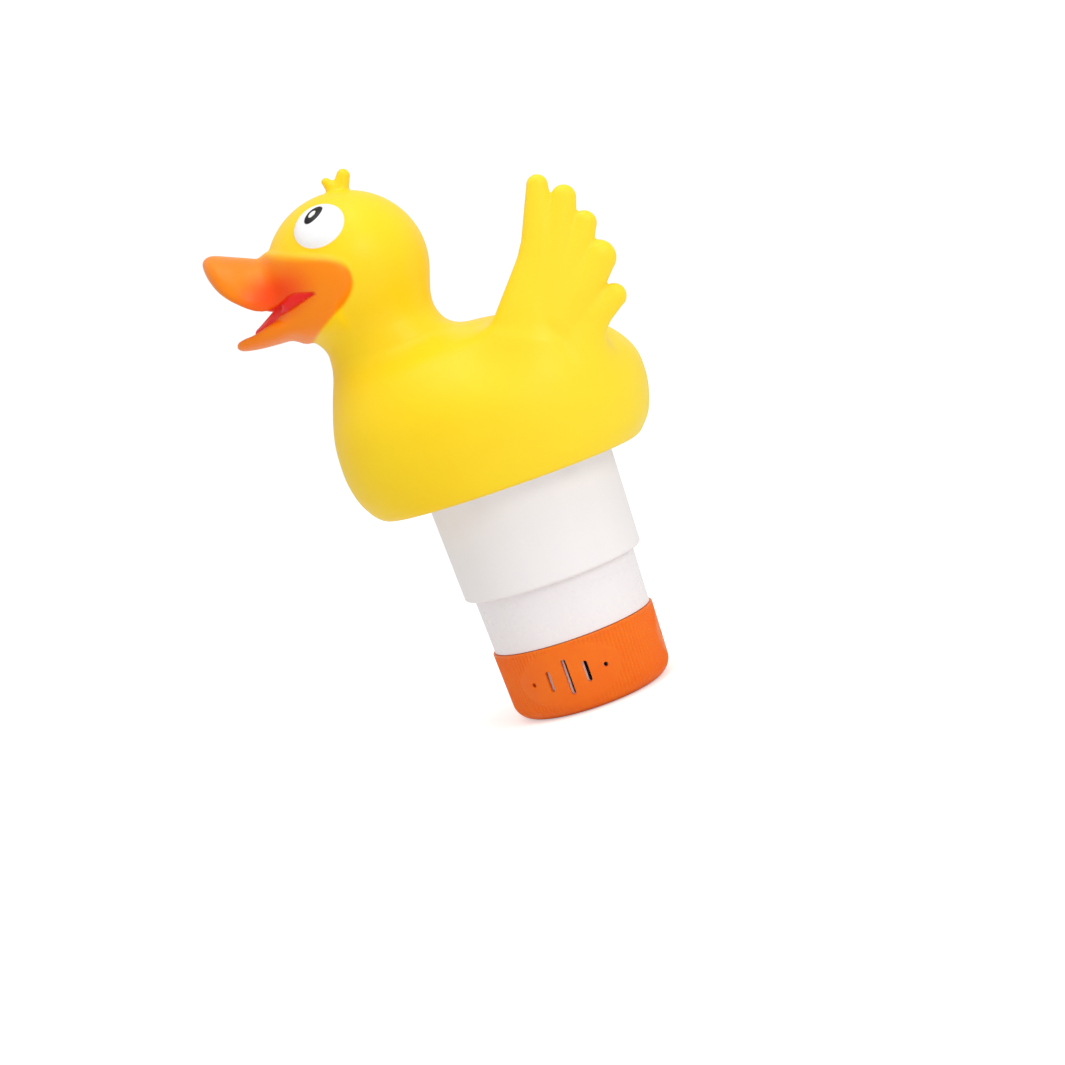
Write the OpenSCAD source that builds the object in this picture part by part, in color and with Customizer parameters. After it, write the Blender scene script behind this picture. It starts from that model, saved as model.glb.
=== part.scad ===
// Floating chlorine dispenser: a hollow soft-vinyl duck float that twists and lifts off a
// telescoping tablet canister with a turning, vented control cap.
// Millimetres. +Z is up the canister's axis, the duck faces -Y, and the origin is the middle
// of the cap's flat underside, on which the dispenser stands.

/* [Control cap] */
// Radius of the cap at its rim
cap_rim_r = 34.4; // [34.2:0.1:36]
// Radius of the cap just above its rounded bottom edge
cap_low_r = 33.6; // [33.2:0.1:34.2]
// Height of the cap
cap_h = 30; // [28:0.5:32]
// Radius of the rounded bottom edge
cap_edge_r = 7.5; // [5:0.5:8]
// Thickness of the cap's floor
cap_floor_t = 2.4; // [2:0.1:3]

/* [Vents] */
// Groups of vents round the cap
vent_groups = 3; // [2:1:3]
// Angle between neighbouring vents of a group
vent_pitch = 13.4; // [10:0.1:13.6]
// Width of a vent
vent_w = 2; // [1.6:0.1:2.4]
// Length of the middle vent
vent_long = 15; // [12:0.5:15]
// Length of the vents beside it
vent_medium = 8.8; // [6:0.2:10]
// Height of the vents' middle above the underside
vent_z = 16.4; // [15:0.1:17]
// Turn of the first group from the duck's left side towards its front
vent_turn = -12.5; // [-20:0.5:20]
// How far the cap is turned from fully open in the rest position
cap_open_turn = 1.7; // [0:0.1:3]
// How far the cap turns from the rest position to closed
cap_close_turn = 60; // [55:1:62]

/* [Canister] */
// Outer radius of the lower sleeve just above the cap
lower_foot_r = 33.4; // [33.2:0.1:33.8]
// Outer radius of the lower sleeve where it enters the upper one
lower_top_r = 34.2; // [34:0.1:34.3]
// Wall of both sleeves
sleeve_wall = 2; // [1.8:0.1:2.2]
// Height of the upper sleeve's bottom edge
upper_z = 54; // [52:0.5:56]
// Outer radius of the upper sleeve at its bottom edge
upper_foot_r = 37.8; // [37.2:0.1:38]
// Outer radius of the upper sleeve under the float
upper_top_r = 39; // [38.8:0.1:39.2]
// Length of lower sleeve inside the upper one at rest
sleeve_overlap = 12; // [11:0.5:14]

/* [Float] */
// Height of the duck's flat base
base_z = 96; // [94:0.5:98]
// Wall of the vinyl shell
skin = 2.2; // [1.8:0.1:2.6]
// Radius of the head
head_r = 33; // [31:0.5:34]
// Wing feathers on each side
feathers = 5; // [4:1:6]
// Half width of the body
body_half_w = 53; // [52:0.5:55]
// Half width of the flat base
base_half_w = 50; // [49.5:0.5:51]
// Half length of the flat base
base_half_l = 55.5; // [54:0.5:57]

/* [Float closure] */
// Outer radius of the closing plate's flange
plate_r = 46.4; // [46:0.1:47]
// Screws that clamp the shell between plate and ring
screws = 6; // [4:1:8]
// Angle that each bayonet lug spans
lug_span = 26; // [20:1:30]
// Turn from the lifting position to locked
lock_turn = 40; // [35:1:45]

/* [Hidden] */
eps = 0.01;
gap = 0.3;
fine = 96;

// Canister, worked out
neck_r = cap_low_r - 1.9;
neck_wall = 1.8;
neck_top_z = cap_h + gap;
bead_z = cap_h - 4;
bead_h = 1.2;
bead_out = 0.5;
neck_foot_z = cap_floor_t + 2.2;
neck_bevel_w = 1.2;
neck_bevel_h = 1.4;
lower_top_z = upper_z + sleeve_overlap;
flange_h = 3;
// How far the sleeves can still pull apart before the flange meets the lip
sleeve_out = 5.5;
lip_h = 2;
lip_r = lower_top_r + 0.35;
lip_slope_h = 1.2;
upper_edge_r = 1.2;
grate_z = 6.4;
grate_t = 2.4;
grate_seat = 0.02;
grate_r = neck_r - neck_wall - 0.3;
grate_rings = 3;
grate_pitch = 7.6;
grate_slot = [3, 5.4];
ledge_h = 2;
ledge_w = 2.2;
snap_out = 0.5;
edge_bevel = 0.5;
stop_in_r = 24;
stop_out_r = 27.6;
stop_h = 1.5;
stop_w = 6;
stop_play = 1;
key_gap = 0.2;
slot_inner_r = 28;
slot_depth = 10;
window_extra = 0.4;
round_sides = 24;

// Neck of the upper sleeve and its bayonet, worked out
socket_neck_r = 36;
socket_neck_wall = 2.9;
socket_gap = 0.3;
lug_out = 2;
lug_root = 0.5;
lug_play = 4;
lug_h = 3;
lug_z = base_z + 5;
lugs = 3;
neck_end_z = base_z + 10.4;
socket_r = socket_neck_r + socket_gap;
groove_r = socket_neck_r + lug_out + socket_gap;
cup_r = groove_r + 1.9;
seal_wire_r = 1.25;
seal_r = 34.4;
socket_top_z = neck_end_z + 2 * seal_wire_r + 0.06;
plate_z = base_z + gap;
plate_t = 2;
gasket_t = 0.8;
floor_z = plate_z + plate_t + gasket_t;
mouth_r = cup_r + 0.6;
ring_z = floor_z + skin;
ring_t = 3;
screw_pcd_r = 43.6;
screw_r = 1.25;
screw_play = 0.2;
screw_head_r = 2.4;
screw_head_h = 1;
screw_len = 7.4;
screw_slot = [2.6, 0.6, 0.6];

// Duck, worked out: places are [x, y, z] with z above the float's base
// The form is drawn at one height and length, then fitted to the real ones
form_fit = [1, 0.985, 0.962];
head_c = [0, -37, 105];
wing_root = [33, 29, 49];
fan_c = [40, 29, 62];
fan_r = [33, 51];
first_feather = 64;
last_feather = -2;
base_y = -1.5;

function taper(z, z0, r0, z1, r1) = r0 + (r1 - r0) * (z - z0) / (z1 - z0);
function upper_r(z) = taper(z, upper_z, upper_foot_r, base_z, upper_top_r);
function vent_len(i) = i == 2 ? vent_long : (i == 1 || i == 3) ? vent_medium : vent_w;
flange_r = upper_r(lower_top_z - flange_h - sleeve_out) - sleeve_wall - 0.25;

// An ellipsoid, thinned by inset on every side
module pod(centre, radii, inset = 0, sides = 24) {
    translate(centre)
        scale([radii.x - inset, radii.y - inset, radii.z - inset])
            sphere(r = 1, $fn = sides);
}

// Upright slots of one vent pattern, cut from the axis outwards
module vents(turn, extra = 0) {
    for (group = [0 : vent_groups - 1], i = [0 : 4])
        rotate([0, 0, turn + group * 360 / vent_groups + (i - 2) * vent_pitch])
            translate([slot_inner_r, 0, vent_z])
                rotate([90, 0, 90])
                    linear_extrude(slot_depth)
                        stadium(vent_w + extra, vent_len(i) + extra);
}

module stadium(w, len) {
    side = len - w;
    if (side > 0)
        square([w, side], center = true);
    for (end = [-1, 1])
        translate([0, end * side / 2])
            circle(d = w, $fn = round_sides);
}

// A block that follows a ring between two radii over an angle, from its middle
module arc_block(r_in, r_out, span, h) {
    rotate([0, 0, -span / 2])
        rotate_extrude(angle = span, $fn = fine)
            translate([r_in, 0])
                square([r_out - r_in, h]);
}

// ---- Control cap: turns on the lower sleeve's neck ----

module cap_outline() {
    cx = cap_low_r - cap_edge_r;
    difference() {
        union() {
            square([cx, cap_edge_r]);
            translate([cx, cap_edge_r])
                intersection() {
                    circle(r = cap_edge_r, $fn = fine);
                    translate([0, -cap_edge_r])
                        square(cap_edge_r);
                }
            polygon([[0, cap_edge_r], [cap_low_r, cap_edge_r], [cap_rim_r, cap_h], [0, cap_h]]);
        }
        cap_bore_r = neck_r + gap;
        inner_edge = cap_edge_r - cap_floor_t;
        translate([0, cap_floor_t])
            square([cap_bore_r - inner_edge, cap_h]);
        translate([0, cap_floor_t + inner_edge])
            square([cap_bore_r, cap_h]);
        translate([cap_bore_r - inner_edge, cap_floor_t + inner_edge])
            circle(r = inner_edge, $fn = fine);
        // Groove for the neck's snap bead
        translate([cap_bore_r - eps, bead_z - gap / 2])
            square([bead_out + eps, bead_h + 1.5 * gap]);
    }
}

module control_cap() {
    color("darkorange") {
        difference() {
            rotate_extrude($fn = fine)
                cap_outline();
            vents(vent_turn);
        }
        // Stops on the floor, one just past each end of the sleeve's key
        for (a = [-cap_open_turn - stop_w - stop_play, cap_close_turn + stop_w + stop_play])
            rotate([0, 0, a])
                translate([0, 0, cap_floor_t - eps])
                    arc_block(stop_in_r, stop_out_r, stop_w, stop_h);
    }
}

// ---- Lower sleeve: holds the tablets and slides in the upper sleeve ----

module lower_outline() {
    in_r = neck_r - neck_wall;
    // Snap rim that holds the grate down on its ledge
    snap_z = grate_z + grate_t + 0.2;
    polygon([
        [in_r - ledge_w, grate_z - ledge_h], [in_r, grate_z - ledge_h],
        [in_r, neck_foot_z], [neck_r - neck_bevel_w, neck_foot_z],
        [neck_r, neck_foot_z + neck_bevel_h], [neck_r, bead_z],
        [neck_r + bead_out, bead_z + bead_h / 3], [neck_r, bead_z + bead_h],
        [neck_r, neck_top_z], [lower_foot_r, neck_top_z],
        [lower_top_r, upper_z], [lower_top_r, lower_top_z - flange_h],
        [flange_r, lower_top_z - flange_h], [flange_r, lower_top_z - edge_bevel],
        [flange_r - edge_bevel, lower_top_z], [lower_top_r - sleeve_wall, lower_top_z],
        [lower_foot_r - sleeve_wall, neck_top_z + sleeve_wall], [in_r, neck_top_z],
        [in_r, snap_z + 0.6], [in_r - snap_out, snap_z + 0.3], [in_r, snap_z],
        [in_r, grate_z], [in_r - ledge_w, grate_z]
    ]);
}

module lower_sleeve() {
    color("whitesmoke") {
        difference() {
            rotate_extrude($fn = fine)
                lower_outline();
            vents(vent_turn + cap_open_turn, window_extra);
        }
        // Key that runs between the cap's stops
        key_in_r = stop_in_r + key_gap;
        key_z = cap_floor_t + gap;
        ledge_z = grate_z - ledge_h;
        translate([0, 0, key_z])
            arc_block(key_in_r, stop_out_r - key_gap, stop_w, ledge_z - key_z + key_gap);
        translate([0, 0, ledge_z])
            arc_block(key_in_r, neck_r - neck_wall - 2, stop_w, ledge_h);
    }
}

// ---- Tablet grate: snaps onto the lower sleeve's ledge ----

module tablet_grate() {
    color("white")
        translate([0, 0, grate_z + grate_seat])
            difference() {
                cylinder(r = grate_r, h = grate_t, $fn = fine);
                for (ring = [1 : grate_rings], i = [0 : 6 * ring - 1])
                    rotate([0, 0, i * 60 / ring])
                        translate([ring * grate_pitch, 0, -eps])
                            linear_extrude(grate_t + 2 * eps)
                                rotate(90)
                                    stadium(grate_slot.x, grate_slot.y);
                translate([0, 0, -eps])
                    cylinder(d = grate_slot.x + 1, h = grate_t + 2 * eps, $fn = round_sides);
            }
}

// ---- Upper sleeve: slides on the lower one, carries the float ----

module upper_outline() {
    edge = upper_edge_r;
    neck_in_r = socket_neck_r - socket_neck_wall;
    inner_foot_z = upper_z + lip_h + lip_slope_h;
    polygon([
        [lip_r, upper_z], [upper_foot_r - edge, upper_z],
        for (a = [15 : 15 : 75])
            [upper_foot_r - edge + edge * sin(a), upper_z + edge - edge * cos(a)],
        [upper_r(upper_z + edge), upper_z + edge], [upper_top_r, base_z],
        [socket_neck_r, base_z], [socket_neck_r, neck_end_z - edge_bevel],
        [socket_neck_r - edge_bevel, neck_end_z], [neck_in_r, neck_end_z],
        [neck_in_r, base_z - edge_bevel], [upper_top_r - sleeve_wall, base_z - 2 * sleeve_wall],
        [upper_r(inner_foot_z) - sleeve_wall, inner_foot_z],
        [lip_r, upper_z + lip_h]
    ]);
}

module upper_sleeve() {
    color("white") {
        rotate_extrude($fn = fine)
            upper_outline();
        for (i = [0 : lugs - 1])
            rotate([0, 0, i * 360 / lugs])
                translate([0, 0, lug_z])
                    arc_block(socket_neck_r - lug_root, socket_neck_r + lug_out, lug_span, lug_h);
    }
}

// ---- Float seal: O-ring between the sleeve's rim and the socket's roof ----

module float_seal() {
    color("dimgray")
        translate([0, 0, neck_end_z + 0.03 + seal_wire_r])
            rotate_extrude($fn = fine)
                translate([seal_r, 0])
                    circle(r = seal_wire_r, $fn = 32);
}

// ---- Float base: closes the shell and holds the bayonet socket ----

module float_base() {
    way = lug_span + lug_play;
    color("white")
        difference() {
            union() {
                translate([0, 0, plate_z])
                    cylinder(r = plate_r, h = plate_t, $fn = fine);
                translate([0, 0, plate_z])
                    cylinder(r = cup_r, h = socket_top_z + plate_t - plate_z, $fn = fine);
            }
            translate([0, 0, plate_z - eps])
                cylinder(r = socket_r, h = socket_top_z - plate_z + eps, $fn = fine);
            for (i = [0 : lugs - 1])
                rotate([0, 0, i * 360 / lugs]) {
                    // Way in for a lug, straight up into the locking channel
                    translate([0, 0, plate_z - eps])
                        arc_block(socket_r - lug_root, groove_r - 0.1, way, lug_z + 1 - plate_z);
                    // Channel to the locked stretch, where the plate holds the lug up
                    rotate([0, 0, (1 - lock_turn) / 2])
                        translate([0, 0, lug_z - gap])
                            arc_block(socket_r - lug_root - 0.1, groove_r,
                                      way + lock_turn + 1, lug_h + 2 * gap);
                }
            screw_places()
                translate([0, 0, plate_z - eps]) {
                    cylinder(r = screw_r + screw_play, h = plate_t + 2 * eps, $fn = round_sides);
                    cylinder(r = screw_head_r + screw_play, h = screw_head_h + 0.1,
                             $fn = round_sides);
                }
        }
}

module screw_places() {
    for (i = [0 : screws - 1])
        rotate([0, 0, (i + 0.5) * 360 / screws])
            translate([screw_pcd_r, 0, 0])
                children();
}

module shell_gasket() {
    color("dimgray")
        translate([0, 0, plate_z + plate_t])
            difference() {
                cylinder(r = plate_r - 0.4, h = gasket_t, $fn = fine);
                translate([0, 0, -eps])
                    cylinder(r = mouth_r, h = gasket_t + 2 * eps, $fn = fine);
                screw_places()
                    translate([0, 0, -eps])
                        cylinder(r = screw_r + screw_play, h = gasket_t + 2 * eps,
                                 $fn = round_sides);
            }
}

module clamp_ring() {
    color("gainsboro")
        translate([0, 0, ring_z])
            difference() {
                cylinder(r = plate_r, h = ring_t, $fn = fine);
                translate([0, 0, -eps])
                    cylinder(r = mouth_r - 0.3, h = ring_t + 2 * eps, $fn = fine);
                screw_places()
                    translate([0, 0, -eps])
                        cylinder(r = screw_r, h = ring_t - gap, $fn = round_sides);
            }
}

module clamp_screws() {
    color("silver")
        screw_places()
            difference() {
                union() {
                    translate([0, 0, plate_z])
                        cylinder(r = screw_head_r, h = screw_head_h, $fn = round_sides);
                    translate([0, 0, plate_z])
                        cylinder(r = screw_r, h = screw_len, $fn = round_sides);
                }
                for (a = [0, 90])
                    rotate([0, 0, a])
                        translate([-screw_slot.x / 2, -screw_slot.y / 2, plate_z - eps])
                            cube(screw_slot);
            }
}

// ---- Duck shell: one hollow vinyl moulding ----

// Body, from the base's outline up to the chest, back and rump
module body_form(inset) {
    hull() {
        translate([0, base_y, inset])
            linear_extrude(1)
                scale([base_half_w - inset, base_half_l - inset])
                    circle(r = 1, $fn = 48);
        pod([0, -20, 31], [body_half_w - 3, 47, 30], inset, 28);
        pod([0, 19, 28], [body_half_w, 44, 27.5], inset, 28);
        pod([0, 7, 36], [body_half_w - 14, 40, 33], inset, 28);
    }
}

module neck_form(inset) {
    hull() {
        pod([0, -37, 90], [25, 25, 24], inset);
        pod([0, -30, 50], [40, 32, 26], inset);
    }
}

// Upper bill: broad flared paddle, turned up at its tip
module upper_bill() {
    hull() {
        pod([0, -60, 110], [25, 14, 12], 0);
        pod([0, -77, 112], [24, 10, 11.5], 0);
    }
    hull() {
        pod([0, -77, 112], [24, 10, 11.5], 0);
        pod([0, -86.5, 119.5], [19, 7.5, 8.6], 0);
    }
}

module lower_bill() {
    hull() {
        pod([0, -56, 93], [24, 14, 9], 0);
        pod([0, -82, 90.5], [15, 10, 5], 0);
    }
}

// Cheeks, where the bill wraps round the head
module muzzle() {
    pod([0, -52, 104], [32, 18, 20], 0);
}

// Open mouth: from its corner forwards, arched up under the paddle
module mouth(grow) {
    hull() {
        pod([0, -62, 101], [21, 8, 4], -grow, 16);
        pod([0, -86, 103], [18, 12, 8], -grow, 16);
    }
    hull() {
        pod([0, -86, 103], [18, 12, 8], -grow, 16);
        pod([0, -96, 106], [15, 12, 9], -grow, 16);
    }
}

module eye(side) {
    translate(head_c)
        rotate([0, 0, side * 74 - 90])
            rotate([0, -38, 0])
                pod([head_r - 1.5, 0, 0], [5, 11.2, 11.2], 0);
}

module crest() {
    hull() {
        pod([0, -30, 136], [4, 4.5, 4], 0, 12);
        pod([0, -26.5, 142], [3, 3.6, 2.8], 0, 12);
    }
    hull() {
        pod([0, -31, 136], [3.4, 3, 3], 0, 12);
        pod([0, -35, 141], [2.2, 2.2, 2], 0, 12);
    }
}

// Middle of a feather's round end: they lie along an ellipse behind the root
function feather_tip(i) =
    let (a = first_feather - i * (first_feather - last_feather) / (feathers - 1))
        [fan_c.x, fan_c.y + fan_r[0] * cos(a), fan_c.z + fan_r[1] * sin(a)];

// Wing: feathers fan out from the root, the first one upright and the last one level
module wing(side) {
    for (i = [0 : feathers - 1]) {
        tip = feather_tip(i);
        heel = tip + 0.2 * (wing_root - tip);
        hull() {
            pod([side * wing_root.x, wing_root.y, wing_root.z], [12, 19, 20], 0, 14);
            pod([side * heel.x, heel.y, heel.z], [6, 7, 7], 0, 12);
            pod([side * tip.x, tip.y, tip.z], [4, 5, 5], 0, 12);
        }
    }
}

// Air space of the float: the form thinned by the skin, above the clamped lip
module duck_cavity() {
    difference() {
        union() {
            body_form(skin);
            neck_form(skin);
            pod(head_c, [head_r, head_r, head_r], skin, 28);
            for (side = [-1, 1])
                hull() {
                    pod([side * wing_root.x, wing_root.y, wing_root.z], [12, 20, 20], skin, 14);
                    pod([side * fan_c.x, fan_c.y + 12, fan_c.z + 32], [6, 7, 7], skin, 12);
                    pod([side * fan_c.x, fan_c.y + 22, fan_c.z + 2], [6, 7, 7], skin, 12);
                }
        }
        mouth(skin);
        translate([-100, -120, -1])
            cube([200, 240, (floor_z + skin - base_z) / form_fit.z + 1]);
    }
}

module duck_form() {
    body_form(0);
    neck_form(0);
    pod(head_c, [head_r, head_r, head_r], 0, 32);
    muzzle();
    upper_bill();
    lower_bill();
    crest();
    for (side = [-1, 1]) {
        eye(side);
        wing(side);
    }
}

module duck_shell() {
    color("gold")
        translate([0, 0, base_z])
            difference() {
                scale(form_fit)
                    difference() {
                        duck_form();
                        duck_cavity();
                        mouth(0);
                    }
                // Recess for the plate and its gasket, and the mouth above it
                translate([0, 0, -eps])
                    cylinder(r = plate_r + 0.4, h = floor_z - base_z + eps, $fn = fine);
                translate([0, 0, -eps])
                    cylinder(r = mouth_r, h = 20, $fn = fine);
                // Screw holes in the clamped lip
                screw_places()
                    cylinder(r = screw_r + screw_play, h = screw_len + 1, $fn = 12);
            }
}

duck_shell();
float_base();
shell_gasket();
clamp_ring();
clamp_screws();
float_seal();
upper_sleeve();
lower_sleeve();
tablet_grate();
control_cap();
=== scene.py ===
from math import cos, pi, radians, sin

import bpy
import numpy as np
from mathutils import Matrix, Vector


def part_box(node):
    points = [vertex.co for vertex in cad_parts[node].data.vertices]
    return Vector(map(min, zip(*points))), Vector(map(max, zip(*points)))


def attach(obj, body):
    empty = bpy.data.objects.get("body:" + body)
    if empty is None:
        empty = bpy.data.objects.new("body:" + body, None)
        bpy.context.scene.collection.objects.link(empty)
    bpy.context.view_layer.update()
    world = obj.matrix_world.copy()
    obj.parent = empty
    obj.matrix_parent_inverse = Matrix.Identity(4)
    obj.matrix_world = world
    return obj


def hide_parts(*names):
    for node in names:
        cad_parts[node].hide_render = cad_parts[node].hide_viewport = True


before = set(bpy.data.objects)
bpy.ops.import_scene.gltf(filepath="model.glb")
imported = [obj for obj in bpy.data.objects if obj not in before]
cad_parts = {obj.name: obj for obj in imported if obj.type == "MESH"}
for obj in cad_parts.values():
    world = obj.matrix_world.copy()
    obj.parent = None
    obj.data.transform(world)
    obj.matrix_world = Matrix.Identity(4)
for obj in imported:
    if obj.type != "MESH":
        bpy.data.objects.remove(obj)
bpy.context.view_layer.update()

MM = 0.001

# Every shape below is worked out in millimetres, in the CAD frame: +Z up the canister, duck facing -Y.
BASE_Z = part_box("duck_shell")[0].z / MM
SKIN = 2.2


# ---- Implicit shapes: each gives the signed distance, nearly, of points to a form ----

def soft_min(a, b, k):
    """The union of two forms, with a fillet of about k between them."""
    h = np.clip(0.5 + 0.5 * (b - a) / k, 0.0, 1.0)
    return b + (a - b) * h - k * h * (1.0 - h)


def soft_max(a, b, k):
    return -soft_min(-a, -b, k)


def ramp(x, low, high):
    """0 below low, 1 above high, smooth between."""
    t = np.clip((x - low) / (high - low), 0.0, 1.0)
    return t * t * (3.0 - 2.0 * t)


def through(x, *knots):
    """A smooth curve through the (place, value) knots."""
    xs = np.array([k[0] for k in knots], float)
    ys = np.array([k[1] for k in knots], float)
    slopes = np.gradient(ys, xs)
    x = np.clip(x, xs[0], xs[-1])
    i = np.clip(np.searchsorted(xs, x) - 1, 0, len(xs) - 2)
    w = xs[i + 1] - xs[i]
    t = (x - xs[i]) / w
    ends = (2 * t**3 - 3 * t**2 + 1) * ys[i] + (3 * t**2 - 2 * t**3) * ys[i + 1]
    bends = (t**3 - 2 * t**2 + t) * slopes[i] + (t**3 - t**2) * slopes[i + 1]
    return ends + w * bends


def pod(p, centre, radii):
    """An ellipsoid."""
    q = (p - np.array(centre)) / np.array(radii)
    k0 = np.sqrt((q * q).sum(-1)) + 1e-9
    k1 = np.sqrt(((q / np.array(radii)) ** 2).sum(-1)) + 1e-9
    return k0 * (k0 - 1.0) / k1


def rounded(u, v, reach, power):
    """A boxy oval. u and v are places as shares of its half sizes, and reach is the smaller of those."""
    norm = (u**power + np.abs(v) ** power) ** (1 / power) + 1e-9
    return reach * (norm - 1.0)


def bar(p, a, b, r_a, r_b):
    """A rounded bar whose radius goes from r_a at a to r_b at b."""
    a, b = np.array(a, float), np.array(b, float)
    axis = b - a
    t = np.clip(((p - a) @ axis) / (axis @ axis), 0.0, 1.0)
    nearest = a + t[..., None] * axis
    return np.sqrt(((p - nearest) ** 2).sum(-1)) - (r_a + (r_b - r_a) * t)


def mirrored(p):
    q = p.copy()
    q[..., 0] = np.abs(q[..., 0])
    return q


# ---- Duck: places are millimetres with z above the float's flat base ----

HEAD = np.array([0.0, -37.7, 100.5])
HEAD_R = (32.9, 32.8, 31.5)
EYE_DIR = np.array([0.808, -0.108, 0.598])
EYE_DIR /= np.linalg.norm(EYE_DIR)
EYE_R = 10.9
EYE_SEAT = 29.4
EYE_BULGE = 5.4
BACK_Z = 65.5
BILL_ROOT = 45.0


def torso(p):
    """The body, as ovals whose front, rear and half width follow curves up its height."""
    x, y, z = np.abs(p[..., 0]), p[..., 1], p[..., 2]
    front = through(
        z, (-8, 47), (0, 57.2), (2.5, 60), (7.6, 63.5), (17.5, 66.6), (27, 67.1), (41.4, 65),
        (53, 60), (66, 50),
    )
    rear = through(
        z, (-8, 44), (0, 51.6), (6, 57), (15, 60.8), (25, 62.2), (33, 61.3), (41.3, 56.8),
        (50, 48), (58, 36), (66, 15),
    )
    half = through(
        z, (-8, 46), (0, 49.8), (4, 51), (13, 52.2), (24, 52.6), (37, 50.3), (47, 44.5),
        (57, 35), (66, 20),
    )
    middle, length = 0.5 * (rear - front), 0.5 * (rear + front)
    form = rounded(x / half, (y - middle) / length, np.minimum(half, length), 2.15)
    form = soft_max(form, z - BACK_Z, 12.0)
    neck = bar(p, (0, -31.0, 46), (0, -34.0, 88), 23.5, 23.2)
    return soft_min(form, neck, 12.0)


def skull(p):
    return pod(p, HEAD, HEAD_R)


def face_edge(p, k=7.0):
    """Negative where the bill's root wraps round the face: seen from the side, a wedge rounded behind."""
    f, z = -p[..., 1], p[..., 2]
    above = (f - 55.3) * -0.428 + (z - 113.0) * 0.904
    below = (f - 59.0) * -0.453 + (z - 78.9) * -0.892
    behind = 34.4 - f
    return soft_max(soft_max(above, below, k), behind, k)


def cheeks(p):
    return soft_max(skull(p) - 2.3, face_edge(p), 3.5)


def bill_half(y):
    """Half the upper bill's width along it: narrow behind the paddle."""
    return through(
        -y, (50, 28.5), (58, 25.5), (66, 22.3), (74, 23.2), (81, 24.6), (87, 21.5), (91, 14),
        (94, 5),
    )


def upper_lip(y):
    return through(
        -y, (50, 95), (60.5, 97.5), (67, 95.5), (72, 94.7), (76, 96), (81, 99.9),
        (86.5, 106), (90, 111.5), (94, 117),
    )


def lower_lip(y):
    return through(
        -y, (45, 95.5), (51, 94.3), (58, 92.8), (66, 91.7), (74, 92), (82, 91.3), (87, 89.5),
        (92, 87.4),
    )


def groove(p):
    """The space between the lips, which runs back round the cheek to the corner of the mouth."""
    y, z = p[..., 1], p[..., 2]
    return soft_max(np.maximum(z - upper_lip(y), lower_lip(y) - z), y + 50.5, 0.8)


def upper_bill(p):
    x, y, z = np.abs(p[..., 0]), p[..., 1], p[..., 2]
    top = through(
        -y, (47, 111), (58, 112.2), (66, 114.4), (74, 118), (81, 121), (87, 123.4),
        (92, 124), (97, 124),
    )
    rim = upper_lip(y)
    half = bill_half(y)
    low = np.minimum(rim, top - 12.0)
    u, v = x / half, (z - low) / (top - low)
    dome = rounded(u, v, np.minimum(half, top - low), 2.3)
    form = soft_max(dome, (rim - z) * 0.8, 3.0)
    return soft_max(soft_max(form, -(y + 92.8), 6.0), y + BILL_ROOT, 2.0)


def lower_bill(p):
    x, y, z = np.abs(p[..., 0]), p[..., 1], p[..., 2]
    top = lower_lip(y)
    bottom = through(
        -y, (45, 77.5), (53, 78.8), (61.4, 79.9), (66.5, 81.1), (75, 81.7), (82, 82.3),
        (87, 83.2), (92, 84.6),
    )
    half = through(
        -y, (45, 29), (53, 27.5), (61, 24.5), (68, 21), (75, 17.7), (81, 14.5), (86, 11),
        (90, 7), (94, 3),
    )
    mid, tall = 0.5 * (top + bottom), 0.5 * (top - bottom)
    form = rounded(x / half, (z - mid) / tall, np.minimum(half, tall), 2.4)
    return soft_max(soft_max(form, -(y + 90.6), 3.0), y + BILL_ROOT, 2.0)


def mouth(p):
    """The open mouth's hollow, arched under the upper bill and dished into the lower one."""
    x, y, z = np.abs(p[..., 0]), p[..., 1], p[..., 2]
    half = through(
        -y, (44, 6), (49, 11), (55, 14), (62, 15), (68, 16.2), (74, 18.6), (81, 19.8),
        (87, 17), (93, 13.5),
    )
    top = through(
        -y, (44, 98), (49, 103), (58, 108), (66, 110.5), (74, 112.8), (81, 115.4), (87, 118),
        (93, 120.6),
    )
    bottom = through(
        -y, (44, 94.5), (49, 91.5), (58, 88), (66, 86.3), (74, 85.4), (81, 85.7), (86, 86.6),
        (93, 87.4),
    )
    mid, tall = 0.5 * (top + bottom), 0.5 * (top - bottom)
    form = rounded(x / half, (z - mid) / tall, np.minimum(half, tall), 2.2)
    return soft_max(form, y + 45.5, 6.0)


def tongue(p):
    q = p * np.array([0.43, 1.0, 1.0])
    return bar(q, (0, -56, 93.0), (0, -79.0, 87.6), 9.4, 2.8)


def eye_parts(p):
    """Distance of points from the eye's axis, and along it from the head's middle."""
    q = mirrored(p) - HEAD
    along = q @ EYE_DIR
    return np.sqrt(np.maximum((q * q).sum(-1) - along * along, 0.0)), along


def eyes(p):
    across, along = eye_parts(p)
    k0 = np.sqrt((across / EYE_R) ** 2 + ((along - EYE_SEAT) / EYE_BULGE) ** 2) + 1e-9
    k1 = np.sqrt((across / EYE_R**2) ** 2 + ((along - EYE_SEAT) / EYE_BULGE**2) ** 2) + 1e-9
    return k0 * (k0 - 1.0) / k1


def crest(p):
    rear = bar(p, (0, -30.2, 131.0), (0, -27.0, 136.4), 3.4, 2.7)
    front = bar(p, (0, -32.4, 132.0), (0, -34.4, 136.2), 3.0, 1.8)
    return soft_min(rear, front, 2.0)


WING_X = 34.0
WING_FLAT = 1.5
# Each feather: root and tip as (y, z), and the radii there
FEATHERS = (
    ((29.5, 55.0), (43.8, 105.2), 12.0, 4.2),
    ((31.0, 55.0), (51.9, 97.6), 12.0, 4.9),
    ((33.0, 55.0), (56.2, 85.8), 12.0, 4.9),
    ((34.0, 54.0), (57.2, 71.6), 12.0, 6.9),
    ((37.0, 47.5), (58.1, 55.8), 9.8, 4.9),
)


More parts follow.
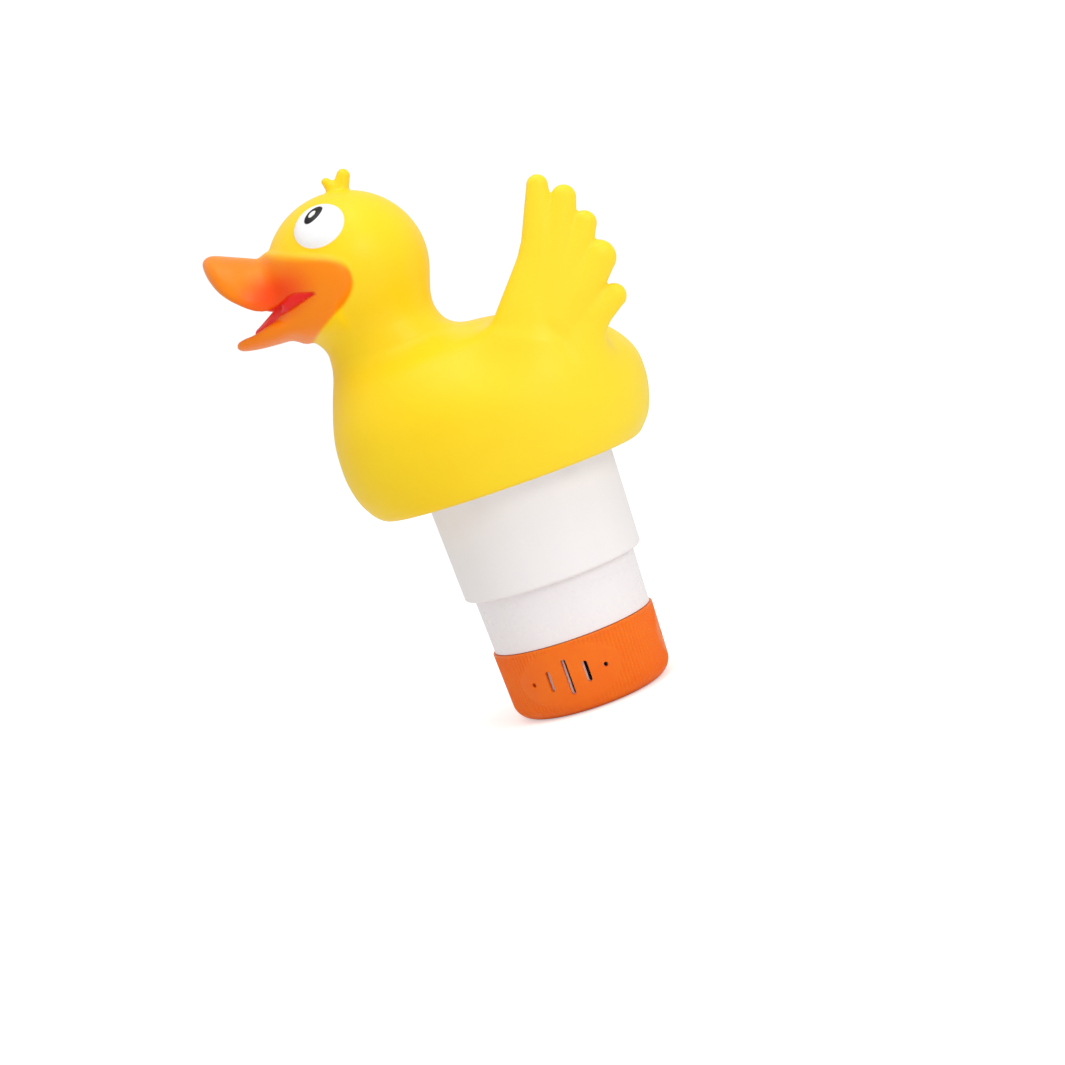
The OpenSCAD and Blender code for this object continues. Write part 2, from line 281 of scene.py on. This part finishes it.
def wings(p):
    """A flat, nearly upright fan on each side."""
    q = mirrored(p)
    lean = WING_X + (q[..., 2] - 50.0) * 0.02
    q[..., 0] = (q[..., 0] - lean) * WING_FLAT + WING_X
    form = bar(q, (WING_X, 21.5, 51), (WING_X, 35.5, 80), 16.0, 7.4)
    for root, tip, r_root, r_tip in FEATHERS:
        form = soft_min(form, bar(q, (WING_X, *root), (WING_X, *tip), r_root, r_tip), 1.6)
    return form / 1.2


def duck_outside(p):
    form = soft_min(torso(p), wings(p), 14.0)
    form = soft_min(form, skull(p), 5.0)
    form = soft_min(form, cheeks(p), 1.2)
    bill = soft_min(upper_bill(p), lower_bill(p), 1.5)
    form = soft_min(form, bill, 3.5)
    form = soft_max(form, -np.maximum(groove(p), -(form + 1.8)), 0.7)
    form = soft_max(form, -mouth(p), 2.2)
    form = soft_min(form, tongue(p), 2.0)
    form = soft_min(form, eyes(p), 0.5)
    form = soft_min(form, crest(p), 1.5)
    return soft_max(form, -p[..., 2], 2.0)


RECESS_R = 46.8
RECESS_H = 3.1
LIP_R = 40.8


def duck_shell(p):
    """The moulding itself: the outside less its air space, the plate's recess and the lip's opening."""
    z = p[..., 2]
    outside = duck_outside(p)
    air = soft_max(outside + SKIN, RECESS_H + SKIN - z, 1.0)
    form = soft_max(outside, -air, 0.4)
    r = np.hypot(p[..., 0], p[..., 1])
    form = soft_max(form, -np.maximum(r - RECESS_R, z - RECESS_H), 0.4)
    return soft_max(form, -np.maximum(r - LIP_R, z - RECESS_H - 2 * SKIN), 0.4)


# ---- Meshing: a net over the cells that a form's surface crosses ----

def sample_half(form, low, high, step, block=4):
    """The form on a grid over x <= 0, found closely only near its surface."""
    counts = [int(np.ceil((high[a] - low[a]) / (step * block))) for a in range(3)]
    counts[0] = int(np.ceil(-low[0] / (step * block)))
    start = np.array([-counts[0] * block * step, low[1], low[2]])
    mids = [(np.arange(n) + 0.5) * block * step for n in counts]
    coarse = form(np.stack(np.meshgrid(*mids, indexing="ij"), -1) + start)
    near = np.abs(coarse) < 2.2 * block * step
    values = coarse
    for axis in range(3):
        values, near = np.repeat(values, block, axis), np.repeat(near, block, axis)
    values[near] = form(start + np.argwhere(near) * step)
    rows = [np.zeros(1), np.arange(values.shape[1]), np.arange(values.shape[2])]
    grid = np.stack(np.meshgrid(*rows, indexing="ij"), -1)
    middle = form(grid * step + np.array([0.0, start[1], start[2]]))
    return np.concatenate([values, middle, values[::-1]]), start


def surface_net(values, start, step):
    """Points, one to a crossed cell, and quads that face outwards."""
    n = [s - 1 for s in values.shape]
    inside = values < 0
    count = np.zeros(n, np.int8)
    for i in (0, 1):
        for j in (0, 1):
            for k in (0, 1):
                count += inside[i:n[0] + i, j:n[1] + j, k:n[2] + k]
    crossed = (count > 0) & (count < 8)
    cells = np.argwhere(crossed)
    index = np.full(n, -1)
    index[crossed] = np.arange(len(cells))
    total, hits = np.zeros((len(cells), 3)), np.zeros(len(cells))
    quads = []
    for axis in range(3):
        step_on = np.eye(3, dtype=int)[axis]
        b, c = (axis + 1) % 3, (axis + 2) % 3
        side_b, side_c = np.eye(3, dtype=int)[b], np.eye(3, dtype=int)[c]
        for u in (0, 1):
            for v in (0, 1):
                corner = cells + u * side_b + v * side_c
                first = values[tuple(corner.T)]
                second = values[tuple((corner + step_on).T)]
                hit = (first < 0) != (second < 0)
                place = corner[hit].astype(float)
                place[:, axis] += first[hit] / (first[hit] - second[hit])
                total[hit] += place
                hits[hit] += 1
        lower = np.moveaxis(inside, axis, 0)[:-1]
        upper = np.moveaxis(inside, axis, 0)[1:]
        edges = np.argwhere(np.moveaxis(lower != upper, 0, axis))
        edges = edges[(edges[:, b] > 0) & (edges[:, c] > 0)]
        ring = [edges - side_b - side_c, edges - side_c, edges, edges - side_b]
        quad = np.stack([index[tuple(r.T)] for r in ring], -1)
        leaving = inside[tuple(edges.T)]
        quads.append(np.where(leaving[:, None], quad, quad[:, ::-1]))
    return start + step * total / hits[:, None], np.concatenate(quads)


def gradient(form, p, reach=0.05):
    value = form(p)
    return value, np.stack([form(p + reach * np.eye(3)[a]) - value for a in range(3)], -1) / reach


def settle(form, points, quads, rounds=4):
    """Evens the points out along the surface, and puts them exactly on it."""
    pairs = np.concatenate([quads[:, [i, (i + 1) % 4]] for i in range(4)])
    degree = np.bincount(pairs[:, 0], minlength=len(points))[:, None]
    for turn in range(rounds):
        value, slope = gradient(form, points)
        steep = (slope**2).sum(-1, keepdims=True) + 1e-6
        points = points - np.clip(value[:, None] / steep, -0.8, 0.8) * slope
        if turn == rounds - 1:
            break
        ends = points[pairs[:, 1]]
        total = [np.bincount(pairs[:, 0], ends[:, a], len(points)) for a in range(3)]
        pull = np.stack(total, -1) / degree - points
        normal = slope / np.sqrt(steep)
        points = points + 0.5 * (pull - (pull * normal).sum(-1, keepdims=True) * normal)
    return points


def put_mesh(name, points, faces, body, sharp=180.0):
    """A piece of the object from points in millimetres, riding on a CAD body."""
    mesh = bpy.data.meshes.new(name)
    mesh.from_pydata((np.asarray(points, float) * MM).tolist(), [], [list(map(int, f)) for f in faces])
    mesh.validate()
    mesh.shade_smooth()
    if sharp < 180.0:
        mesh.set_sharp_from_angle(angle=radians(sharp))
    obj = bpy.data.objects.new(name, mesh)
    bpy.context.scene.collection.objects.link(obj)
    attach(obj, body)
    return obj


def paint(obj, name, values):
    layer = obj.data.attributes.new(name, "FLOAT", "POINT")
    layer.data.foreach_set("value", np.asarray(values, np.float32))


# ---- Node materials ----

class Finish:
    """A node material round one Principled shader."""

    def __init__(self, name, **settings):
        self.material = bpy.data.materials.new(name)
        self.material.use_nodes = True
        self.tree = self.material.node_tree
        self.shader = next(n for n in self.tree.nodes if n.type == "BSDF_PRINCIPLED")
        for key, value in settings.items():
            self.shader.inputs[key.replace("_", " ")].default_value = value

    def add(self, kind, inputs=(), **properties):
        node = self.tree.nodes.new("ShaderNode" + kind)
        for key, value in properties.items():
            setattr(node, key, value)
        for key, value in dict(inputs).items():
            if isinstance(value, bpy.types.NodeSocket):
                self.tree.links.new(value, node.inputs[key])
            else:
                node.inputs[key].default_value = value
        return node

    def place(self):
        return self.add("TexCoord").outputs["Object"]

    def noise(self, scale, detail=3.0, place=None):
        inputs = {"Vector": place or self.place(), "Scale": scale, "Detail": detail}
        return self.add("TexNoise", inputs).outputs["Fac"]

    def spread(self, value, low, high, from_low=0.3, from_high=0.7):
        """Maps a value's range onto another, smoothly."""
        inputs = {"Value": value, "From Min": from_low, "From Max": from_high}
        inputs.update({"To Min": low, "To Max": high})
        return self.add("MapRange", inputs, interpolation_type="SMOOTHSTEP").outputs["Result"]

    def mix(self, amount, first, second):
        node = self.add("Mix", {0: amount}, data_type="RGBA")
        for slot, value in ((6, first), (7, second)):
            if isinstance(value, bpy.types.NodeSocket):
                self.tree.links.new(value, node.inputs[slot])
            else:
                node.inputs[slot].default_value = (*value, 1.0)
        return node.outputs[2]

    def attribute(self, name):
        return self.add("Attribute", attribute_name=name).outputs["Fac"]

    def math(self, operation, first, second=0.0):
        return self.add("Math", {0: first, 1: second}, operation=operation).outputs[0]

    def drive(self, name, value):
        self.tree.links.new(value, self.shader.inputs[name])

    def bump(self, *layers):
        """Layers of (height, strength, distance in millimetres), one on another."""
        normal = None
        for height, strength, distance in layers:
            inputs = {"Height": height, "Strength": strength, "Distance": distance * MM}
            if normal:
                inputs["Normal"] = normal
            normal = self.add("Bump", inputs).outputs["Normal"]
        self.drive("Normal", normal)


def linear(*screen):
    """Linear colour from 0 to 255 screen values."""
    return tuple(c / 255 / 12.92 if c <= 10 else ((c / 255 + 0.055) / 1.055) ** 2.4 for c in screen)


def duck_vinyl():
    m = Finish("duck_vinyl", Specular_IOR_Level=0.26, Subsurface_Weight=0.12, Subsurface_Scale=0.004)
    m.shader.inputs["Subsurface Radius"].default_value = (1.0, 0.55, 0.12)
    cloudy = m.spread(m.noise(28.0), 0.0, 1.0)
    along = m.add("SeparateXYZ", {"Vector": m.place()}).outputs["Y"]
    yellow = m.mix(cloudy, linear(255, 212, 18), linear(255, 216, 24))
    # Painted light and shade: the yellow is lighter towards the tail and deeper towards the chest and head
    yellow = m.mix(m.spread(along, 0.0, 1.0, -0.04, 0.05), yellow, linear(255, 221, 44))
    orange = m.mix(cloudy, linear(253, 132, 0), linear(255, 139, 0))
    # Painted shade by the mouth's corner, partly red paint spill: a darker, redder orange
    orange = m.mix(m.attribute("shade_and_spill"), orange, linear(252, 76, 0))
    colour = m.mix(m.attribute("bill"), yellow, orange)
    colour = m.mix(m.attribute("mouth"), colour, linear(255, 34, 28))
    white = m.spread(m.attribute("eye"), 1.0, 0.0, -0.25, 0.25)
    colour = m.mix(white, colour, linear(248, 246, 246))
    black = m.spread(m.attribute("pupil"), 1.0, 0.0, -0.15, 0.15)
    colour = m.mix(black, colour, linear(12, 11, 12))
    glint = m.spread(m.attribute("glint"), 1.0, 0.0, -0.15, 0.15)
    colour = m.mix(glint, colour, linear(246, 240, 236))
    m.drive("Base Color", colour)
    satin = m.spread(m.noise(160.0), 0.36, 0.46)
    m.drive("Roughness", m.math("SUBTRACT", satin, m.math("MULTIPLY", white, 0.12)))
    m.bump((m.noise(45.0, 1.0), 0.10, 1.0), (m.noise(1400.0), 0.08, 0.1))
    return m.material


def sleeve_plastic(name, screen, rough=0.34):
    m = Finish(name, Specular_IOR_Level=0.45)
    place = m.place()
    streak = m.add("Mapping", {"Vector": place, "Scale": (1.0, 1.0, 0.12)}).outputs["Vector"]
    flow = m.spread(m.noise(55.0, 4.0, streak), 0.0, 1.0)
    m.drive("Base Color", m.mix(flow, linear(*screen), linear(*(c - 2 for c in screen))))
    m.drive("Roughness", m.spread(m.noise(220.0), rough - 0.05, rough + 0.06))
    m.bump((flow, 0.02, 0.3), (m.noise(1100.0), 0.06, 0.08))
    return m.material


def cap_plastic():
    m = Finish("cap_pp", Specular_IOR_Level=0.3, Subsurface_Weight=0.3, Subsurface_Scale=0.004)
    m.shader.inputs["Subsurface Radius"].default_value = (1.0, 0.4, 0.1)
    cloudy = m.spread(m.noise(70.0), 0.0, 1.0)
    m.drive("Base Color", m.mix(cloudy, linear(252, 118, 2), linear(250, 110, 0)))
    m.drive("Roughness", m.spread(m.noise(300.0), 0.36, 0.5))
    m.bump((m.noise(900.0), 0.12, 0.12))
    return m.material


def rubber(name):
    m = Finish(name, Specular_IOR_Level=0.3)
    dusty = m.spread(m.noise(240.0), 0.0, 1.0)
    m.drive("Base Color", m.mix(dusty, linear(44, 44, 46), linear(58, 58, 60)))
    m.drive("Roughness", m.spread(m.noise(500.0), 0.6, 0.78))
    m.bump((m.noise(1600.0), 0.2, 0.1))
    return m.material


def steel():
    m = Finish("screw_steel", Metallic=1.0)
    place = m.place()
    brushed = m.add("Mapping", {"Vector": place, "Scale": (1.0, 0.1, 1.0)}).outputs["Vector"]
    lines = m.noise(1800.0, 2.0, brushed)
    bright = m.spread(lines, 0.0, 1.0)
    m.drive("Base Color", m.mix(bright, linear(188, 188, 190), linear(212, 212, 212)))
    m.drive("Roughness", m.spread(lines, 0.22, 0.36))
    m.bump((lines, 0.1, 0.05))
    return m.material


def finish_with(obj, material):
    obj.data.materials.clear()
    obj.data.materials.append(material)


# ---- Duck ----

def make_duck(step):
    low, high = (-56.0, -99.0, -4.0), (56.0, 72.0, 150.0)
    values, start = sample_half(duck_shell, low, high, step)
    points, quads = surface_net(values, start, step)
    points = settle(duck_shell, points, quads)
    duck = put_mesh("duck", points + np.array([0.0, 0.0, BASE_Z]), quads, "float")
    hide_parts("duck_shell")
    # The sprayed orange is soft along the forehead and crisper under the cheek
    y, z = points[:, 1], points[:, 2]
    edge = face_edge(points, 9.0) - 0.6 + 2.2 * ramp(z, 97.0, 112.0)
    width = 0.7 + 3.4 * ramp(z, 97.0, 112.0)
    outside = duck_outside(points) > -0.5 * SKIN
    paint(duck, "bill", (1.0 - ramp(edge, -width, width)) * outside)
    palate = 1.0 - 0.75 * ramp(-y, 70.0, 86.0) * ramp(z, 93.0, 101.0)
    red = (1.0 - ramp(mouth(points), 0.2, 1.4)) * palate
    tongue_red = 1.0 - ramp(tongue(points), 0.3, 1.2)
    groove_red = 1.0 - ramp(groove(points), -0.5, 0.3)
    paint(duck, "mouth", np.maximum(np.maximum(red, tongue_red), groove_red) * outside)
    # Painted shade, partly a spill of the mouth's red paint: a darker, redder orange spreads from the
    # corner of the mouth
    away = np.hypot((y + 66.0) / 1.6, z - 99.5)
    paint(duck, "shade_and_spill", 1.0 - ramp(away, 2.0, 13.0))
    across, along = eye_parts(points)
    paint(duck, "eye", np.where(along > 20.0, across - EYE_R + 0.45, 9.0))
    side, up = eye_plane(points)
    paint(duck, "pupil", np.where(along > 20.0, oval(side, up, (-0.6, 3.6), (4.9, 2.8), 42.0), 9.0))
    paint(duck, "glint", np.where(along > 20.0, oval(side, up, (-1.0, 4.0), (1.9, 1.1), 42.0), 9.0))
    finish_with(duck, duck_vinyl())
    return duck


def eye_plane(p):
    """Places on the eye's disc: towards the back of the head, and upwards."""
    q = mirrored(p) - HEAD
    up = np.array([0.0, 0.0, 1.0]) - EYE_DIR * EYE_DIR[2]
    up /= np.linalg.norm(up)
    back = np.cross(up, EYE_DIR)
    back *= np.sign(back[1])
    return q @ back, q @ up


def oval(side, up, centre, radii, tilt):
    """Distance, nearly, to an ellipse turned by tilt degrees."""
    c, s = cos(radians(tilt)), sin(radians(tilt))
    u = (side - centre[0]) * c + (up - centre[1]) * s
    v = (up - centre[1]) * c - (side - centre[0]) * s
    norm = np.sqrt((u / radii[0]) ** 2 + (v / radii[1]) ** 2)
    return (norm - 1.0) * min(radii)


make_duck(1.0)


# ---- Lathe work ----

def lathe(profile, columns, offset=None):
    """Turns a closed or axis-to-axis profile of (radius, z) about Z.
    The profile runs anticlockwise, so that faces look outwards.
    offset(angles, radius, z) gives how far points stand out from the turned form."""
    angles = np.asarray(columns)
    points, rings = [], []
    for r, z in profile:
        if r < 1e-6:
            rings.append([len(points)] * len(angles))
            points.append((0.0, 0.0, z))
            continue
        rings.append(list(range(len(points), len(points) + len(angles))))
        reach = r + (offset(angles, r, z) if offset else 0.0 * angles)
        points.extend(zip(reach * np.cos(angles), reach * np.sin(angles), np.full(len(angles), z)))
    closed = profile[0][0] > 1e-6
    faces = []
    for i in range(len(profile) - (0 if closed else 1)):
        a, b = rings[i], rings[(i + 1) % len(profile)]
        for j in range(len(angles)):
            k = (j + 1) % len(angles)
            face = [a[j], a[k], b[k], b[j]]
            faces.append([v for n, v in enumerate(face) if v not in face[:n]])
    return np.array(points), faces


def corner(centre, radius, start, end, steps=6):
    """Points along an arc, in degrees, about a place on a profile."""
    turns = [radians(start + (end - start) * i / steps) for i in range(steps + 1)]
    return [(centre[0] + radius * cos(t), centre[1] + radius * sin(t)) for t in turns]


def line(a, b, step=1.0):
    """Points from a up to, and not at, b."""
    n = max(1, round(float(np.hypot(b[0] - a[0], b[1] - a[1])) / step))
    return [(a[0] + (b[0] - a[0]) * i / n, a[1] + (b[1] - a[1]) * i / n) for i in range(n)]


CAP_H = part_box("control_cap")[1].z / MM
CAP_RIM_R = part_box("control_cap")[1].x / MM
CAP_LOW_R = CAP_RIM_R - 0.8
CAP_EDGE_R = 7.5
CAP_FLOOR = 2.4
CAP_BORE_R = 32.0
RIBS = 120
RIB_DEPTH = 0.45
VENT_PITCH = 13.4
VENT_TURN = -12.5
VENT_W = 2.0
VENT_LONG = 15.0
VENT_MEDIUM = 8.8
VENT_Z = 16.4
PANEL_HALF = (22.0, 12.0)


def vent_places():
    """Angle in degrees and length of every vent."""
    lengths = (VENT_W, VENT_MEDIUM, VENT_LONG, VENT_MEDIUM, VENT_W)
    return [
        (VENT_TURN + 120.0 * group + (i - 2) * VENT_PITCH, lengths[i])
        for group in range(3)
        for i in range(5)
    ]


def stadium_prism(angle, length, width, r_in, r_out, z, sides=12):
    """A closed bar with a stadium outline, pointing outwards from the axis."""
    side = (length - width) / 2
    outline = []
    for half in (0, 1):
        turns = [pi * t / sides + half * pi for t in range(sides + 1)]
        middle = half * -2 * side + side
        outline += [(width / 2 * cos(t), middle + width / 2 * sin(t)) for t in turns]
    if side < 1e-6:
        outline = outline[:sides] + outline[sides + 1:-1]
    c, s = cos(radians(angle)), sin(radians(angle))
    n = len(outline)
    points = [(r * c - u * s, r * s + u * c, z + v) for r in (r_in, r_out) for u, v in outline]
    faces = [list(range(n))[::-1], list(range(n, 2 * n))]
    faces += [[i, (i + 1) % n, n + (i + 1) % n, n + i] for i in range(n)]
    return points, faces


def pierce(obj, prisms):
    """Cuts closed prisms out of a piece."""
    points, faces = [], []
    for p, f in prisms:
        faces += [[v + len(points) for v in face] for face in f]
        points += p
    mesh = bpy.data.meshes.new("cutter")
    mesh.from_pydata((np.array(points) * MM).tolist(), [], faces)
    cutter = bpy.data.objects.new("cutter", mesh)
    bpy.context.scene.collection.objects.link(cutter)
    cut = obj.modifiers.new("cut", "BOOLEAN")
    cut.operation = "DIFFERENCE"
    cut.solver = "EXACT"
    cut.object = cutter
    bpy.context.view_layer.update()
    done = bpy.data.meshes.new_from_object(obj.evaluated_get(bpy.context.evaluated_depsgraph_get()))
    obj.modifiers.clear()
    obj.data = done
    bpy.data.objects.remove(cutter)


def rib_height(angles, r, z):
    """Fine upright ribs all round. They fade out at the rim, on the bottom edge and on an oval panel
    about each group of vents."""
    if r < CAP_LOW_R - 2.6 or z < 2.0:
        return 0.0 * angles
    turn = (np.degrees(angles) - VENT_TURN + 60.0) % 120.0 - 60.0
    u, v = np.radians(turn) * CAP_LOW_R / PANEL_HALF[0], (z - VENT_Z) / PANEL_HALF[1]
    clear = ramp(np.hypot(u, v), 1.0, 1.06)
    ends = ramp(z, 2.0, 5.5) * (1.0 - ramp(z, CAP_H - 1.3, CAP_H - 0.6))
    return -RIB_DEPTH * clear * ends * (0.5 - 0.5 * np.cos(angles * RIBS))


def make_cap():
    inner = CAP_EDGE_R - CAP_FLOOR
    cx = CAP_LOW_R - CAP_EDGE_R
    top_r = 0.5
    bead_z, bead = CAP_H - 4.15, 0.5
    profile = [(0.0, 0.0)] + line((8.0, 0.0), (cx, 0.0), 5.0)
    profile += corner((cx, CAP_EDGE_R), CAP_EDGE_R, -90, -2, 12)
    profile += line((CAP_LOW_R, CAP_EDGE_R), (CAP_RIM_R, CAP_H - top_r), 0.9)
    profile += corner((CAP_RIM_R - top_r, CAP_H - top_r), top_r, 0, 90, 4)
    profile += corner((CAP_BORE_R + top_r, CAP_H - top_r), top_r, 90, 180, 4)
    groove_top = bead_z + 1.65
    profile += [(CAP_BORE_R, groove_top), (CAP_BORE_R + bead, groove_top - bead)]
    profile += [(CAP_BORE_R + bead, bead_z + bead)]
    profile += line((CAP_BORE_R, bead_z), (CAP_BORE_R, CAP_EDGE_R), 1.5)
    profile += corner((CAP_BORE_R - inner, CAP_EDGE_R), inner, 0, -90, 6)
    profile += [(20.0, CAP_FLOOR), (10.0, CAP_FLOOR), (0.0, CAP_FLOOR)]
    columns = np.arange(RIBS * 8) * 2 * pi / (RIBS * 8)
    points, faces = lathe(profile, columns, rib_height)
    cap = put_mesh("cap", points, faces, "cap")
    pierce(cap, [stadium_prism(a, length, VENT_W, 28.0, 38.0, VENT_Z) for a, length in vent_places()])
    cap.data.shade_smooth()
    cap.data.set_sharp_from_angle(angle=radians(38.0))
    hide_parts("control_cap")
    finish_with(cap, cap_plastic())


make_cap()


# ---- CAD pieces that keep their own shapes ----

def smooth_by_angle(obj, angle=32.0):
    obj.data.shade_smooth()
    obj.data.set_sharp_from_angle(angle=radians(angle))


UPPER_WHITE = (244, 240, 240)
LOWER_WHITE = (244, 239, 240)
for node, material, slot in (
    ("upper_sleeve", sleeve_plastic("upper_pp", UPPER_WHITE), "sleeve_pp"),
    ("lower_sleeve", sleeve_plastic("lower_pp", LOWER_WHITE, 0.3), "sleeve_pp"),
    ("tablet_grate", sleeve_plastic("grate_pp", UPPER_WHITE, 0.4), "sleeve_pp"),
    ("float_base", sleeve_plastic("base_pp", UPPER_WHITE, 0.4), "sleeve_pp"),
    ("clamp_ring", sleeve_plastic("ring_pp", UPPER_WHITE, 0.42), "sleeve_pp"),
    ("float_seal", rubber("seal_epdm"), "seal_rubber"),
    ("shell_gasket", rubber("gasket_epdm"), "seal_rubber"),
    ("clamp_screws", steel(), "screw_steel"),
):
    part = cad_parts[node]
    smooth_by_angle(part)
    finish_with(part, material)


# ---- Stage, lights and camera ----

ROOM_LIGHT = 0.72
BACKDROP = 1.02
FLOOR_GLOW = 0.45


def make_stage():
    reach = 6.0
    corners = [(-reach, -reach, 0), (reach, -reach, 0), (reach, reach, 0), (-reach, reach, 0)]
    mesh = bpy.data.meshes.new("floor")
    mesh.from_pydata(corners, [], [(0, 1, 2, 3)])
    floor = bpy.data.objects.new("floor", mesh)
    bpy.context.scene.collection.objects.link(floor)
    m = Finish("floor", Roughness=0.9, Specular_IOR_Level=0.1)
    m.shader.inputs["Emission Color"].default_value = (1.0, 1.0, 1.0, 1.0)
    seen = m.add("LightPath").outputs["Is Camera Ray"]
    m.drive("Emission Strength", m.math("MULTIPLY", seen, FLOOR_GLOW))
    m.drive("Base Color", m.mix(m.noise(3.0), (0.84, 0.84, 0.84), (0.86, 0.86, 0.86)))
    floor.data.materials.append(m.material)


def soft_box(name, place, aim, size, power):
    light = bpy.data.lights.new(name, "AREA")
    light.shape = "RECTANGLE"
    light.size, light.size_y = size
    light.energy = power
    obj = bpy.data.objects.new(name, light)
    bpy.context.scene.collection.objects.link(obj)
    obj.location = place
    obj.rotation_euler = (Vector(aim) - Vector(place)).to_track_quat("-Z", "Y").to_euler()


def make_camera():
    """The photograph's view: the duck's side from a little above, with the canister's foot to the right."""
    aim = Vector((0.0, -0.0027, BASE_Z * MM - 0.0242))
    distance, rise, yaw, roll = 0.80, radians(6.0), radians(-1.5), radians(19.3)
    width = 0.4347
    back = Vector((cos(rise) * cos(yaw), -cos(rise) * sin(yaw), sin(rise)))
    side = Vector((0.0, 0.0, 1.0)).cross(back).normalized()
    up = back.cross(side)
    right = side * cos(roll) - up * sin(roll)
    upright = up * cos(roll) + side * sin(roll)
    data = bpy.data.cameras.new("camera")
    data.sensor_width = 36.0
    data.lens = 36.0 * distance / width
    data.clip_start = 0.01
    camera = bpy.data.objects.new("camera", data)
    bpy.context.scene.collection.objects.link(camera)
    basis = Matrix((right, upright, back)).transposed().to_4x4()
    camera.matrix_world = Matrix.Translation(aim + back * distance) @ basis
    bpy.context.scene.camera = camera


def make_light():
    """An even white room, a large soft box overhead and a weaker one beside the camera."""
    world = bpy.data.worlds.new("studio")
    world.use_nodes = True
    tree = world.node_tree
    sky = next(n for n in tree.nodes if n.type == "BACKGROUND")
    sky.inputs["Color"].default_value = (1.0, 1.0, 1.0, 1.0)
    seen = tree.nodes.new("ShaderNodeLightPath")
    level = tree.nodes.new("ShaderNodeMapRange")
    level.inputs["To Min"].default_value = ROOM_LIGHT
    level.inputs["To Max"].default_value = BACKDROP
    tree.links.new(seen.outputs["Is Camera Ray"], level.inputs["Value"])
    tree.links.new(level.outputs["Result"], sky.inputs["Strength"])
    bpy.context.scene.world = world
    middle = (0.0, 0.0, 0.12)
    soft_box("top_box", (0.25, 0.1, 1.25), middle, (0.9, 0.9), 5.5)
    soft_box("camera_box", (1.1, 0.8, 0.75), middle, (0.6, 0.6), 4.6)
    bpy.context.scene.view_settings.view_transform = "Standard"


make_stage()
make_light()
make_camera()
